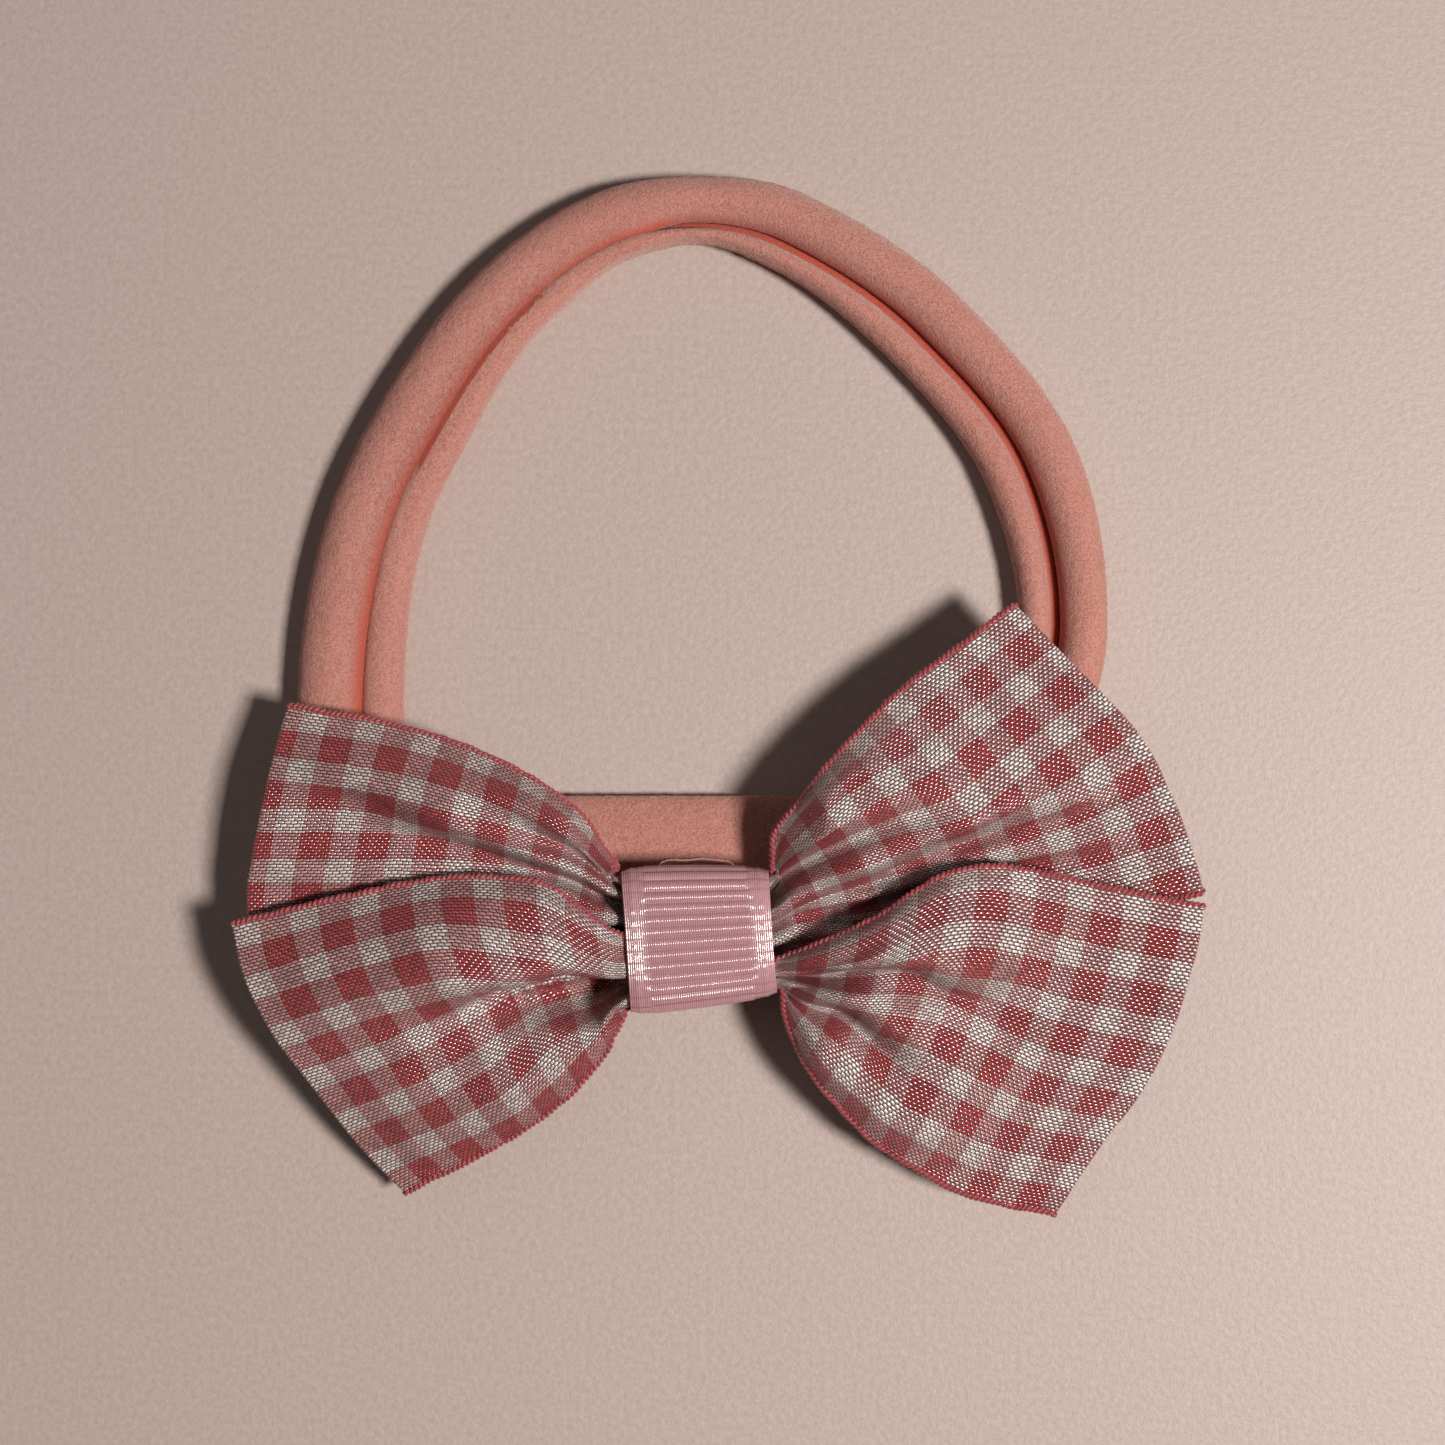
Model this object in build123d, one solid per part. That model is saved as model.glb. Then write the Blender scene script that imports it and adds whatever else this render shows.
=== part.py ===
from build123d import *
import math
import os

# Hair bow on an elastic band, lying flat on a table.
# +X runs along the bow from wing to wing, +Y from the bow towards the crown of the
# band loop, and +Z up from the table. All sizes are in millimetres.
# Plan positions below are measured from the middle of the whole object; the finished
# model is shifted once, at the end, so that its box is centred on the origin.

# ---- driving dimensions -------------------------------------------------------------
RIBBON_WALL = 0.4            # gingham ribbon with its selvedge, as thick as it is handled
WRAP_WIDTH = 16.0            # 5/8 inch grosgrain
WRAP_DEPTH = 16.3            # knot size across the ribbon
WRAP_WALL = 0.65
KNOT_X, KNOT_Y = -2.0, -26.6
KNOT_TURN = 4.0              # degrees, how far the knot is skewed in plan
KNOT_HEIGHT = 7.8            # outside of the wrap, without its lapped end
KNOT_CORNER = 3.4            # radius of the wrap's outside corners

STRAND_WIDTH = 13.0          # band pressed flat where it is glued to the bow
STRAND_THICK = 3.6
STRAND_Y = -17.8
STRAND_LEFT, STRAND_RIGHT = -17.0, 9.0
STRAND_CORNER = 0.42         # corner radius, as a share of the thickness
GLUE_THICK = 0.5             # bead between the band and the knot
GLUE_INSET = 1.6             # from the strand's edge, where its top is flat
GLUE_SIDE_MARGIN = 2.0       # from each edge of the wrap to the bead
SPREAD_WIDTH, SPREAD_DEPTH = 8.0, 3.4   # the bead where it was squeezed towards the knot's edge
RIM_WIDTH, RIM_DEPTH, RIM_HEIGHT = 6.0, 2.2, 1.0   # what came out past that edge
RIM_ROUND = 0.45
LAP_GLUE = 0.25              # film between the lapped ends of the wrap
LAP_LENGTH = 9.0

ROLL_WIDTH = 9.6             # the band elsewhere: a flat strip curled into a soft roll
ROLL_HEIGHT = 5.8
INNER_ROLL_WIDTH = 4.2       # the thinner curled edge on the inside of the loop
INNER_ROLL_HEIGHT = 4.6
ROLL_OVERLAP = 1.6           # how far the two rolls run into each other
ROLL_CORNER = 0.45           # corner radius of the outer roll, as a share of its height
INNER_ROLL_CORNER = 0.4      # the same for the inner roll, as a share of its width
BODY_GAP = 0.2               # between parts of the band that move on their own

THREAD_RADIUS = 0.28
THREAD_TURNS = 4
THREAD_PITCH = 0.62          # from one turn to the next
THREAD_GAP = 0.03            # between the thread and the gathers that it holds
WAIST_DEPTH = 1.25           # how much the thread pulls the gathers in
FIT = 0.12                   # clearance between the gathers and the wrap
WING_GAP = 0.3               # between a loop and the edge of the wrap

LOOP_FAN = 56                # degrees that a loop is turned through, before its outline is cut
LOOP_PEAK = 0.55             # where a loop is highest, as a share of the way out
LOOP_ROOT_IN = 3.0           # how far a loop starts inside the knot's edge
HOLLOW_START = 6.0           # from a loop's root to where its layers part
HOLLOW_ROOT_HALF = 0.35      # half the gap between the layers there
HOLLOW_TIP_HALF = 0.1        # and at the outer fold
HOLLOW_RISE = 0.08           # share of the loop's slope at the start of the hollow
FOLD_WALL = 1.2              # cloth in the outer fold, seen from above
ROOT_TUCK = 0.5              # how much thinner a loop's root is than the gathers
PAST_FOLD = 12.0             # the plan outline runs past the fold and into the knot
INTO_KNOT = 4.0
TALL = 60.0                  # more than the height or depth of anything here

LAP_BOTTOM = STRAND_THICK + GLUE_THICK
KNOT_BOTTOM = LAP_BOTTOM + WRAP_WALL + LAP_GLUE
KNOT_MIDDLE = KNOT_BOTTOM + KNOT_HEIGHT / 2
LAYER = (KNOT_HEIGHT - 2 * WRAP_WALL - 3 * FIT) / 2   # thickness of one gathered ribbon

# The line of the band: place and heading in degrees at a few stations, run anticlockwise.
STRAND_END = (STRAND_RIGHT, STRAND_Y, 0)
RIGHT_CORNER = (28.0, -11.5, 38)
RIGHT_SIDE = (38.8, 8.0, 90)
RIGHT_SHOULDER = (34.5, 25.0, 113)
CROWN_RIGHT = (22.3, 40.6, 135)
CROWN_HIGH_RIGHT = (7.6, 51.3, 154)
CROWN_TOP = (-2.5, 53.4, 180)
CROWN_HIGH_LEFT = (-11.8, 51.6, 202)
CROWN_LEFT = (-21.4, 45.2, 221)
LEFT_SHOULDER = (-34.2, 27.0, 241)
LEFT_SIDE = (-41.0, -3.0, 270)
LEFT_CORNER = (-32.0, -14.8, 330)
STRAND_START = (STRAND_LEFT, STRAND_Y, 360)

# Each loop of ribbon: the two ends of its outer fold, how far the fold bows out, a point
# halfway along each selvedge, the two points where it enters the knot, and its heights.
BACK_LEFT = dict(
    fold=((-47.0, -1.3), (-49.0, -34.5)), bow=2.6,
    selvedges=((-27.0, -5.8), (-30.0, -33.0)), roots=((-10.6, -18.6), (-9.6, -30.5)),
    tip=7.7, crown=1.9, belly=1.0, droop=0.0,
)
BACK_RIGHT = dict(
    fold=((32.3, 9.7), (53.4, -20.6)), bow=2.2,
    selvedges=((14.5, -5.2), (30.0, -25.0)), roots=((5.0, -18.9), (6.3, -30.0)),
    tip=8.3, crown=2.0, belly=1.1, droop=-2.0,
)
FRONT_LEFT = dict(
    fold=((-53.5, -24.9), (-34.6, -55.4)), bow=2.1,
    selvedges=((-29.5, -19.9), (-19.5, -46.8)), roots=((-10.6, -26.0), (-9.3, -34.4)),
    tip=8.4, crown=3.6, belly=0.1, droop=8.0,
)
FRONT_RIGHT = dict(
    fold=((53.2, -23.4), (37.4, -57.9)), bow=2.4,
    selvedges=((30.5, -18.8), (18.6, -50.2)), roots=((5.9, -25.5), (5.9, -33.6)),
    tip=8.4, crown=3.8, belly=0.1, droop=8.0,
)


# ---- plan lines ---------------------------------------------------------------------
def unit(heading):
    """Unit vector of a heading in degrees."""
    angle = math.radians(heading)
    return Vector(math.cos(angle), math.sin(angle), 0)


def arc_from(start, tangent, end):
    """The arc or line that leaves start along tangent and ends at end."""
    if abs(tangent.cross(end - start).Z) < 1e-6:
        return Line(start, end)
    return TangentArc(start, end, tangent=tangent)


def biarc(station_a, station_b):
    """Two arcs, tangent to each other, from one station of the band to the next."""
    start, end = Vector(*station_a[:2], 0), Vector(*station_b[:2], 0)
    t_a, t_b = unit(station_a[2]), unit(station_b[2])
    chord = end - start
    both = t_a + t_b
    a = 2 * (1 - t_a.dot(t_b))
    b = 2 * chord.dot(both)
    c = -chord.dot(chord)
    reach = -c / b if abs(a) < 1e-9 else (-b + math.sqrt(b * b - 4 * a * c)) / (2 * a)
    middle = (start + t_a * reach + end - t_b * reach) * 0.5
    first = arc_from(start, t_a, middle)
    return [first, arc_from(middle, first % 1, end)]


def band_line(*stations):
    """The centre line of a stretch of the band."""
    edges = []
    for a, b in zip(stations, stations[1:]):
        edges += biarc(a, b)
    return Wire(edges)


# ---- band ---------------------------------------------------------------------------
def roll_section(station):
    """Section of the curled band: a fat outer roll and a thin inner one, flat below.

    The inside of the loop is on the left of the heading.
    """
    across = Plane(
        origin=(station[0], station[1], 0),
        x_dir=unit(station[2] + 90),
        z_dir=unit(station[2]),
    )
    outer_width = ROLL_WIDTH - INNER_ROLL_WIDTH + ROLL_OVERLAP
    outer = Pos((outer_width - ROLL_WIDTH) / 2, ROLL_HEIGHT / 2) * RectangleRounded(
        outer_width, ROLL_HEIGHT, ROLL_CORNER * ROLL_HEIGHT
    )
    inner = Pos((ROLL_WIDTH - INNER_ROLL_WIDTH) / 2, INNER_ROLL_HEIGHT / 2) * RectangleRounded(
        INNER_ROLL_WIDTH, INNER_ROLL_HEIGHT, INNER_ROLL_CORNER * INNER_ROLL_WIDTH
    )
    return across * (outer + inner)


def band_roll(*stations):
    """One stretch of the curled band."""
    return sweep(roll_section(stations[0]), path=band_line(*stations))


def trim_end(solid, station, side):
    """Takes the gap between moving parts off one end; side is +1 past the station."""
    place = Plane(origin=(station[0], station[1], 0), z_dir=unit(station[2]))
    slab = place * Pos(0, 0, side * BODY_GAP / 2) * Box(3 * ROLL_WIDTH, 3 * ROLL_WIDTH, BODY_GAP)
    return solid - slab


def right_side():
    side = band_roll(STRAND_END, RIGHT_CORNER, RIGHT_SIDE, RIGHT_SHOULDER)
    return trim_end(side, STRAND_END, 1)


def left_side():
    side = band_roll(LEFT_SHOULDER, LEFT_SIDE, LEFT_CORNER, STRAND_START)
    return trim_end(side, STRAND_START, -1)


def crown():
    roll = band_roll(
        RIGHT_SHOULDER, CROWN_RIGHT, CROWN_HIGH_RIGHT, CROWN_TOP,
        CROWN_HIGH_LEFT, CROWN_LEFT, LEFT_SHOULDER,
    )
    roll = trim_end(roll, RIGHT_SHOULDER, 1)
    return trim_end(roll, LEFT_SHOULDER, -1)


def strand():
    """The flat stretch of band behind the bow."""
    length = STRAND_RIGHT - STRAND_LEFT
    flat = Pos((STRAND_RIGHT + STRAND_LEFT) / 2, STRAND_Y, STRAND_THICK / 2) * Box(
        length, STRAND_WIDTH, STRAND_THICK
    )
    long_edges = flat.edges().filter_by(Axis.X)
    return fillet(long_edges, STRAND_CORNER * STRAND_THICK)


# ---- knot ---------------------------------------------------------------------------
KNOT = Pos(KNOT_X, KNOT_Y, 0) * Rot(0, 0, KNOT_TURN)
ALONG_X = Plane(origin=(0, 0, 0), x_dir=(0, 1, 0), z_dir=(1, 0, 0))   # sections of the knot


def knot_ring(inset):
    """Outline of the knot seen along X, shrunk by inset, centred on its middle."""
    return Pos(0, KNOT_MIDDLE) * RectangleRounded(
        WRAP_DEPTH - 2 * inset, KNOT_HEIGHT - 2 * inset, KNOT_CORNER - inset
    )


def knot_bar(section, length):
    """A section of the knot, run along X about the knot's middle."""
    return extrude(ALONG_X * section, length / 2, both=True)


def knot_wrap():
    """The grosgrain wrap: one turn round the gathers, its end lapped over at the back."""
    tube = knot_ring(0) - knot_ring(WRAP_WALL)
    lap = Pos(0, LAP_BOTTOM + WRAP_WALL / 2) * Rectangle(LAP_LENGTH, WRAP_WALL)
    step_top = KNOT_BOTTOM + WRAP_WALL
    step_place = Pos(-(LAP_LENGTH + WRAP_WALL) / 2, (LAP_BOTTOM + step_top) / 2)
    step = step_place * Rectangle(WRAP_WALL, step_top - LAP_BOTTOM)
    return KNOT * knot_bar(tube + lap + step, WRAP_WIDTH)


def wrap_glue():
    """The glue film that holds the lapped end."""
    film = Pos(0, KNOT_BOTTOM - LAP_GLUE / 2) * Rectangle(LAP_LENGTH, LAP_GLUE)
    return KNOT * knot_bar(film, WRAP_WIDTH - 3)


def band_glue():
    """The bead between the flat strand and the knot, squeezed out past the knot's edge."""
    knot_edge = KNOT_Y + WRAP_DEPTH / 2
    low = STRAND_Y - STRAND_WIDTH / 2 + GLUE_INSET
    high = knot_edge - KNOT_CORNER - 0.2
    film_z = STRAND_THICK + GLUE_THICK / 2
    bead = Pos(KNOT_X, (low + high) / 2, film_z) * Box(
        WRAP_WIDTH - 2 * GLUE_SIDE_MARGIN, high - low, GLUE_THICK
    )
    spread = Pos(KNOT_X + 0.3, knot_edge - 2.6, film_z) * Box(SPREAD_WIDTH, SPREAD_DEPTH, GLUE_THICK)
    rim = Pos(KNOT_X + 0.6, knot_edge - 0.6, STRAND_THICK + RIM_HEIGHT / 2) * Box(
        RIM_WIDTH, RIM_DEPTH, RIM_HEIGHT
    )
    rim = fillet(rim.edges().filter_by(Axis.Z) + rim.edges().group_by(Axis.Z)[-1], RIM_ROUND)
    return bead + spread + (rim - KNOT * knot_bar(knot_ring(-0.05), WRAP_WIDTH))


def gathers(is_front):
    """The pinched middle of one ribbon inside the wrap, with a waist for the thread."""
    cavity = knot_ring(WRAP_WALL + FIT)
    waist = knot_ring(WRAP_WALL + FIT + WAIST_DEPTH)
    low = KNOT_MIDDLE + FIT / 2 if is_front else KNOT_MIDDLE - FIT / 2 - LAYER
    half = Pos(0, low + LAYER / 2) * Rectangle(WRAP_DEPTH, LAYER)
    bar = knot_bar(cavity & half, WRAP_WIDTH + 4 * WING_GAP)
    groove = knot_bar(cavity - waist, (THREAD_TURNS + 0.65) * THREAD_PITCH)
    return KNOT * (bar - groove)


def gathering_thread():
    """Turns of strong thread that hold the pinch, side by side."""
    inset = WRAP_WALL + FIT + WAIST_DEPTH - THREAD_RADIUS - THREAD_GAP
    path = ALONG_X * knot_ring(inset).face().outer_wire()
    section = Plane(origin=path @ 0, z_dir=path % 0) * Circle(THREAD_RADIUS)
    turn = sweep(section, path=path, transition=Transition.RIGHT).solid()
    first = -(THREAD_TURNS - 1) / 2 * THREAD_PITCH
    return Compound([KNOT * Pos(first + i * THREAD_PITCH, 0, 0) * turn for i in range(THREAD_TURNS)])


# ---- ribbon loops -------------------------------------------------------------------
def lens(start, end, root_half, tip_half, crown, belly):
    """Side view of a loop: a lens between two points, from the knot to the outer fold."""
    (start_r, start_z), (end_r, end_z) = start, end
    middle_r = start_r + LOOP_PEAK * (end_r - start_r)
    middle_z = start_z + LOOP_PEAK * (end_z - start_z)
    over = ThreePointArc(
        (start_r, start_z + root_half), (middle_r, middle_z + crown), (end_r, end_z + tip_half)
    )
    under = ThreePointArc(
        (end_r, end_z - tip_half), (middle_r, middle_z - belly), (start_r, start_z - root_half)
    )
    return make_face([over, Line(over @ 1, under @ 0), under, Line(under @ 1, over @ 0)])


def loop_section(loop, root_r, fold_r, root_z):
    """Section of a loop: two layers of cloth that part near the knot and meet at the fold."""
    tip_z, crown, belly = loop["tip"], loop["crown"], loop["belly"]
    hollow_z = root_z + HOLLOW_RISE * (tip_z - root_z)
    outside = lens((root_r, root_z), (fold_r, tip_z), LAYER / 2 - ROOT_TUCK, RIBBON_WALL, crown, belly)
    inside = lens(
        (root_r + HOLLOW_START, hollow_z), (fold_r - FOLD_WALL, tip_z),
        HOLLOW_ROOT_HALF, HOLLOW_TIP_HALF, crown - RIBBON_WALL, belly - RIBBON_WALL,
    )
    return outside - inside


def ribbon_loop(loop, root_z):
    """One loop of ribbon: front layer, outer fold and back layer, open at its selvedges."""
    corner_a, corner_b = (Vector(*p, 0) for p in loop["fold"])
    root_a, root_b = (Vector(*p, 0) for p in loop["roots"])
    knot = (root_a + root_b) * 0.5
    middle = (corner_a + corner_b) * 0.5
    chord = corner_b - corner_a
    out = Vector(chord.Y, -chord.X, 0).normalized()
    if out.dot(middle - knot) < 0:
        out = -out
    bow = loop["bow"]
    fold_r = (chord.length ** 2 / 4 + bow ** 2) / (2 * bow)
    centre = middle + out * (bow - fold_r)
    root_r = (knot - centre).length - LOOP_ROOT_IN
    section = Plane.XZ * loop_section(loop, root_r, fold_r, root_z)
    heading = math.degrees(math.atan2(out.Y, out.X))
    sheet = revolve(section, Axis.Z, LOOP_FAN)
    sheet = Pos(centre.X, centre.Y, 0) * Rot(0, 0, heading - LOOP_FAN / 2) * sheet
    turn = loop["droop"] if chord.cross(out).Z > 0 else -loop["droop"]
    sheet = sheet.rotate(Axis((knot.X, knot.Y, root_z), out), turn)
    side_a, side_b = loop["selvedges"]
    past = out * PAST_FOLD
    into = out * INTO_KNOT
    plan = make_face([
        ThreePointArc(root_a, side_a, corner_a),
        Polyline(corner_a, corner_a + past, corner_b + past, corner_b),
        ThreePointArc(corner_b, side_b, root_b),
        Polyline(root_b, root_b - into, root_a - into, root_a),
    ])
    sheet = sheet & extrude(plan, TALL)
    return sheet - KNOT * Pos(0, 0, KNOT_MIDDLE) * Box(WRAP_WIDTH + 2 * WING_GAP, TALL, TALL)


def ribbon(left, right, is_front):
    """A whole ribbon: two loops and the gathers between them."""
    offset = (LAYER + FIT) / 2
    root_z = KNOT_MIDDLE + offset if is_front else KNOT_MIDDLE - offset
    return ribbon_loop(left, root_z) + gathers(is_front) + ribbon_loop(right, root_z)


# ---- assembly -----------------------------------------------------------------------
def build():
    """Every part by name, in the plan frame."""
    return {
        "back_ribbon": ribbon(BACK_LEFT, BACK_RIGHT, False),
        "front_ribbon": ribbon(FRONT_LEFT, FRONT_RIGHT, True),
        "gathering_thread": gathering_thread(),
        "knot_wrap": knot_wrap(),
        "wrap_glue": wrap_glue(),
        "band_glue": band_glue(),
        "band_strand": strand(),
        "band_left_side": left_side(),
        "band_right_side": right_side(),
        "band_crown": crown(),
    }


def main():
    parts = build()
    boxes = [part.bounding_box() for part in parts.values()]
    low = Vector(*(min(getattr(b.min, a) for b in boxes) for a in "XYZ"))
    high = Vector(*(max(getattr(b.max, a) for b in boxes) for a in "XYZ"))
    shift = Pos(-(low.X + high.X) / 2, -(low.Y + high.Y) / 2, -low.Z)
    print("shift", shift.position)
    print("size", high - low)
    os.makedirs("parts", exist_ok=True)
    for name, solid in parts.items():
        export_step(shift * solid, f"parts/{name}.step")


main()
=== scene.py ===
import math

import bpy
import numpy as np
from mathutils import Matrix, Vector


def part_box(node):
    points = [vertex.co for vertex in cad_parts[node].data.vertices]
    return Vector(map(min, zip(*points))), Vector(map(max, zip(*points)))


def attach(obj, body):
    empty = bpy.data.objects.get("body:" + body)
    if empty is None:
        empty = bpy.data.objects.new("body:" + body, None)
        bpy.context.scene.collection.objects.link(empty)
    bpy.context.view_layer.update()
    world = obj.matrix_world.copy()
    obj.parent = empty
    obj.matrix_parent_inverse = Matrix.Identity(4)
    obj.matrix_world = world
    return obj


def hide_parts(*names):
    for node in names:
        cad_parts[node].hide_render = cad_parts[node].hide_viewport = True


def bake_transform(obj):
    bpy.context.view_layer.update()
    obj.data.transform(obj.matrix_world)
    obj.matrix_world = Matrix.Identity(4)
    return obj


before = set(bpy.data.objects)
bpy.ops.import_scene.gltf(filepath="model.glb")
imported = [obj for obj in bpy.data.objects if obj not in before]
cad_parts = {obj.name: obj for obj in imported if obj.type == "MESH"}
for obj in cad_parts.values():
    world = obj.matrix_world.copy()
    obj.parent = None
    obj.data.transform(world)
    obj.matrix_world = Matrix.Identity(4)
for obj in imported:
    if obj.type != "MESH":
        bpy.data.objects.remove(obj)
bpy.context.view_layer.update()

# A hair bow on a soft elastic band, lying flat. Shapes are worked out in millimetres in
# the plan frame of the CAD part, whose knot is at KNOT_PLAN, and placed by the CAD knot.
MM = 0.001
KNOT_PLAN = np.array((-2.0, -26.6, 0.0))
knot_low, knot_high = (np.array(corner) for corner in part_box("knot_wrap"))
KNOT_CENTRE = (knot_low + knot_high) / 2 * (1, 1, 0)
KNOT_TURN = math.radians(4.0)

RIBBON_WIDTH = 38.0
RIBBON_THICK = 0.22
CHECK = 3.175                 # one gingham square, 1/8 inch
WHITE_STRIPE = 2.95           # a little narrower than the rose stripe beside it
WARP_PITCH = 0.386            # pitch of the ribbon's lengthwise threads
FLOAT_PITCH = 0.70            # distance between a thread's floats

GROSGRAIN_WIDTH = 16.0
GROSGRAIN_THICK = 0.55
RIB_PITCH = 1.22
GROSGRAIN_THREAD = 0.24       # pitch of its fine threads
PLAIN_EDGE = 2.3              # of the grosgrain, outside its ribs
HALF_WRAP = GROSGRAIN_WIDTH / 2
KNOT_STEPS, KNOT_POINTS = 640, 81  # grid points round the knot and across it
KNOT_DEPTH, KNOT_HEIGHT = 15.0, 7.5
KNOT_POWER = 3.4              # of the superellipse that the knot's outline is
KNOT_TAPER = 0.066            # share by which its right edge is less deep than its middle
RIB_ROOM = 0.25               # left for the ribs under the CAD knot's top
KNOT_MIDDLE = knot_high[2] / MM - RIB_ROOM - KNOT_HEIGHT / 2
LAP_LENGTH = 9.0              # of the wrap's end over its start
LAP_GLUE = 0.25
GLUE_SINK = 0.3               # of the glue bead into the band's pile

BAND_FLAT = 28.0              # the band's strip, laid flat
BAND_THICK = 0.8
GROOVE_SHADE_WIDTH = 2.6             # width of the painted shade at the strip's edges, which curl into the groove
BAND_STEP = 0.45              # between rings of points along it
BAND_POINTS = 72              # in a ring
BAND_LIFT = 0.02              # of the band above the table
SIDE_SEAM_Y = -4.0            # where the pieces of the band meet, under the wings
CORNER_SEAM_X = 10.0          # and behind the bow
RNG = np.random.default_rng(7)  # for the band's uneven surface


# ---- helpers
def to_world(points):
    """Plan millimetres to the frame's metres."""
    return (np.asarray(points, float) - KNOT_PLAN) * MM + KNOT_CENTRE


def smooth_line(points, count):
    """A Catmull-Rom line through the points, resampled evenly."""
    p = np.asarray(points, float)
    ends = np.vstack([2 * p[0] - p[1], p, 2 * p[-1] - p[-2]])
    steps = 24
    t = np.linspace(0, 1, steps, endpoint=False)[:, None]
    runs = []
    for a, b, c, d in zip(ends, ends[1:], ends[2:], ends[3:]):
        runs.append(0.5 * (2 * b + (c - a) * t + (2 * a - 5 * b + 4 * c - d) * t**2
                           + (3 * b - a - 3 * c + d) * t**3))
    line = np.vstack(runs + [p[-1:]])
    return resample(line, count)


def resample(line, count, measured=3):
    """The same line with points evenly spaced by its first measured columns."""
    lengths = np.r_[0, np.cumsum(np.linalg.norm(np.diff(line[:, :measured], axis=0), axis=1))]
    at = np.linspace(0, lengths[-1], count)
    return np.stack([np.interp(at, lengths, line[:, k]) for k in range(line.shape[1])], 1)


def smoothstep(x, low=0.0, high=1.0):
    """0 below low, 1 above high, and an even ease between them."""
    t = np.clip((x - low) / (high - low), 0, 1)
    return t * t * (3 - 2 * t)


def soft_noise(shape, cells, rng):
    """Smooth noise over a grid, between about -1 and 1."""
    rough = rng.uniform(-1, 1, (cells[0] + 1, cells[1] + 1))
    x = np.linspace(0, cells[0] - 1e-6, shape[0])
    y = np.linspace(0, cells[1] - 1e-6, shape[1])
    i, j = x.astype(int), y.astype(int)
    fx, fy = smoothstep(x - i)[:, None], smoothstep(y - j)[None, :]
    a, b = rough[i][:, j], rough[i + 1][:, j]
    c, d = rough[i][:, j + 1], rough[i + 1][:, j + 1]
    return (a * (1 - fx) + b * fx) * (1 - fy) + (c * (1 - fx) + d * fx) * fy


def grid_mesh(name, grid, flat=None, closed=False):
    """An object from a grid of plan points, with flat cloth places as an attribute."""
    rows, cols = grid.shape[:2]
    index = np.arange(rows * cols).reshape(rows, cols)
    if closed:
        index = np.hstack([index, index[:, :1]])
    quads = np.stack(
        [index[:-1, :-1], index[1:, :-1], index[1:, 1:], index[:-1, 1:]], -1
    ).reshape(-1, 4)
    mesh = bpy.data.meshes.new(name)
    mesh.from_pydata(to_world(grid.reshape(-1, 3)).tolist(), [], quads.tolist())
    if flat is not None:
        layer = mesh.attributes.new("flat_mm", "FLOAT_VECTOR", "POINT")
        values = np.zeros((rows * cols, 3))
        values[:, :2] = flat.reshape(-1, 2)
        layer.data.foreach_set("vector", values.ravel())
    mesh.shade_smooth()
    piece = bpy.data.objects.new(name, mesh)
    bpy.context.collection.objects.link(piece)
    return piece


def thicken(piece, thickness, offset=0.0):
    """Gives a sheet its thickness."""
    solid = piece.modifiers.new("thickness", "SOLIDIFY")
    solid.thickness = thickness * MM
    solid.offset = offset
    apply_modifiers(piece)


def apply_modifiers(piece):
    """Bakes a piece's modifiers into its mesh."""
    depsgraph = bpy.context.evaluated_depsgraph_get()
    done = bpy.data.meshes.new_from_object(piece.evaluated_get(depsgraph))
    piece.modifiers.clear()
    old = piece.data
    piece.data = done
    piece.data.name = old.name
    bpy.data.meshes.remove(old)


# ---- materials
class Nodes:
    """Short calls for building a material's nodes."""

    def __init__(self, name):
        self.material = bpy.data.materials.new(name)
        self.material.use_nodes = True
        self.tree = self.material.node_tree
        self.shader = self.tree.nodes["Principled BSDF"]

    def add(self, kind, **settings):
        node = self.tree.nodes.new(kind)
        for key, value in settings.items():
            setattr(node, key, value)
        return node

    def link(self, value, socket):
        if isinstance(value, bpy.types.NodeSocket):
            self.tree.links.new(value, socket)
        else:
            socket.default_value = value

    def math(self, operation, a, b=None, c=None):
        node = self.add("ShaderNodeMath", operation=operation)
        for value, socket in zip((a, b, c), node.inputs):
            if value is not None:
                self.link(value, socket)
        return node.outputs[0]

    def mix(self, factor, a, b, blend="MIX"):
        node = self.add("ShaderNodeMix", data_type="RGBA", blend_type=blend)
        self.link(factor, node.inputs[0])
        self.link(a, node.inputs[6])
        self.link(b, node.inputs[7])
        return node.outputs[2]

    def noise(self, vector, scale, detail=2.0, roughness=0.5):
        node = self.add("ShaderNodeTexNoise")
        self.link(vector, node.inputs["Vector"])
        node.inputs["Scale"].default_value = scale
        node.inputs["Detail"].default_value = detail
        node.inputs["Roughness"].default_value = roughness
        return node.outputs[0]

    def ramp(self, value, low, high):
        node = self.add("ShaderNodeMapRange", interpolation_type="SMOOTHSTEP")
        self.link(value, node.inputs["Value"])
        node.inputs["From Min"].default_value = low
        node.inputs["From Max"].default_value = high
        return node.outputs[0]

    def bump(self, height, strength, distance):
        node = self.add("ShaderNodeBump")
        self.link(height, node.inputs["Height"])
        node.inputs["Strength"].default_value = strength
        node.inputs["Distance"].default_value = distance
        self.tree.links.new(node.outputs[0], self.shader.inputs["Normal"])

    def flat(self):
        """Flat cloth places in millimetres: across, along."""
        source = self.add("ShaderNodeAttribute", attribute_name="flat_mm")
        split = self.add("ShaderNodeSeparateXYZ")
        self.tree.links.new(source.outputs["Vector"], split.inputs[0])
        return source.outputs["Vector"], split.outputs[0], split.outputs[1]

    def place(self):
        return self.add("ShaderNodeTexCoord").outputs["Object"]

    def set(self, **values):
        for key, value in values.items():
            self.shader.inputs[key.replace("_", " ")].default_value = value


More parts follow.
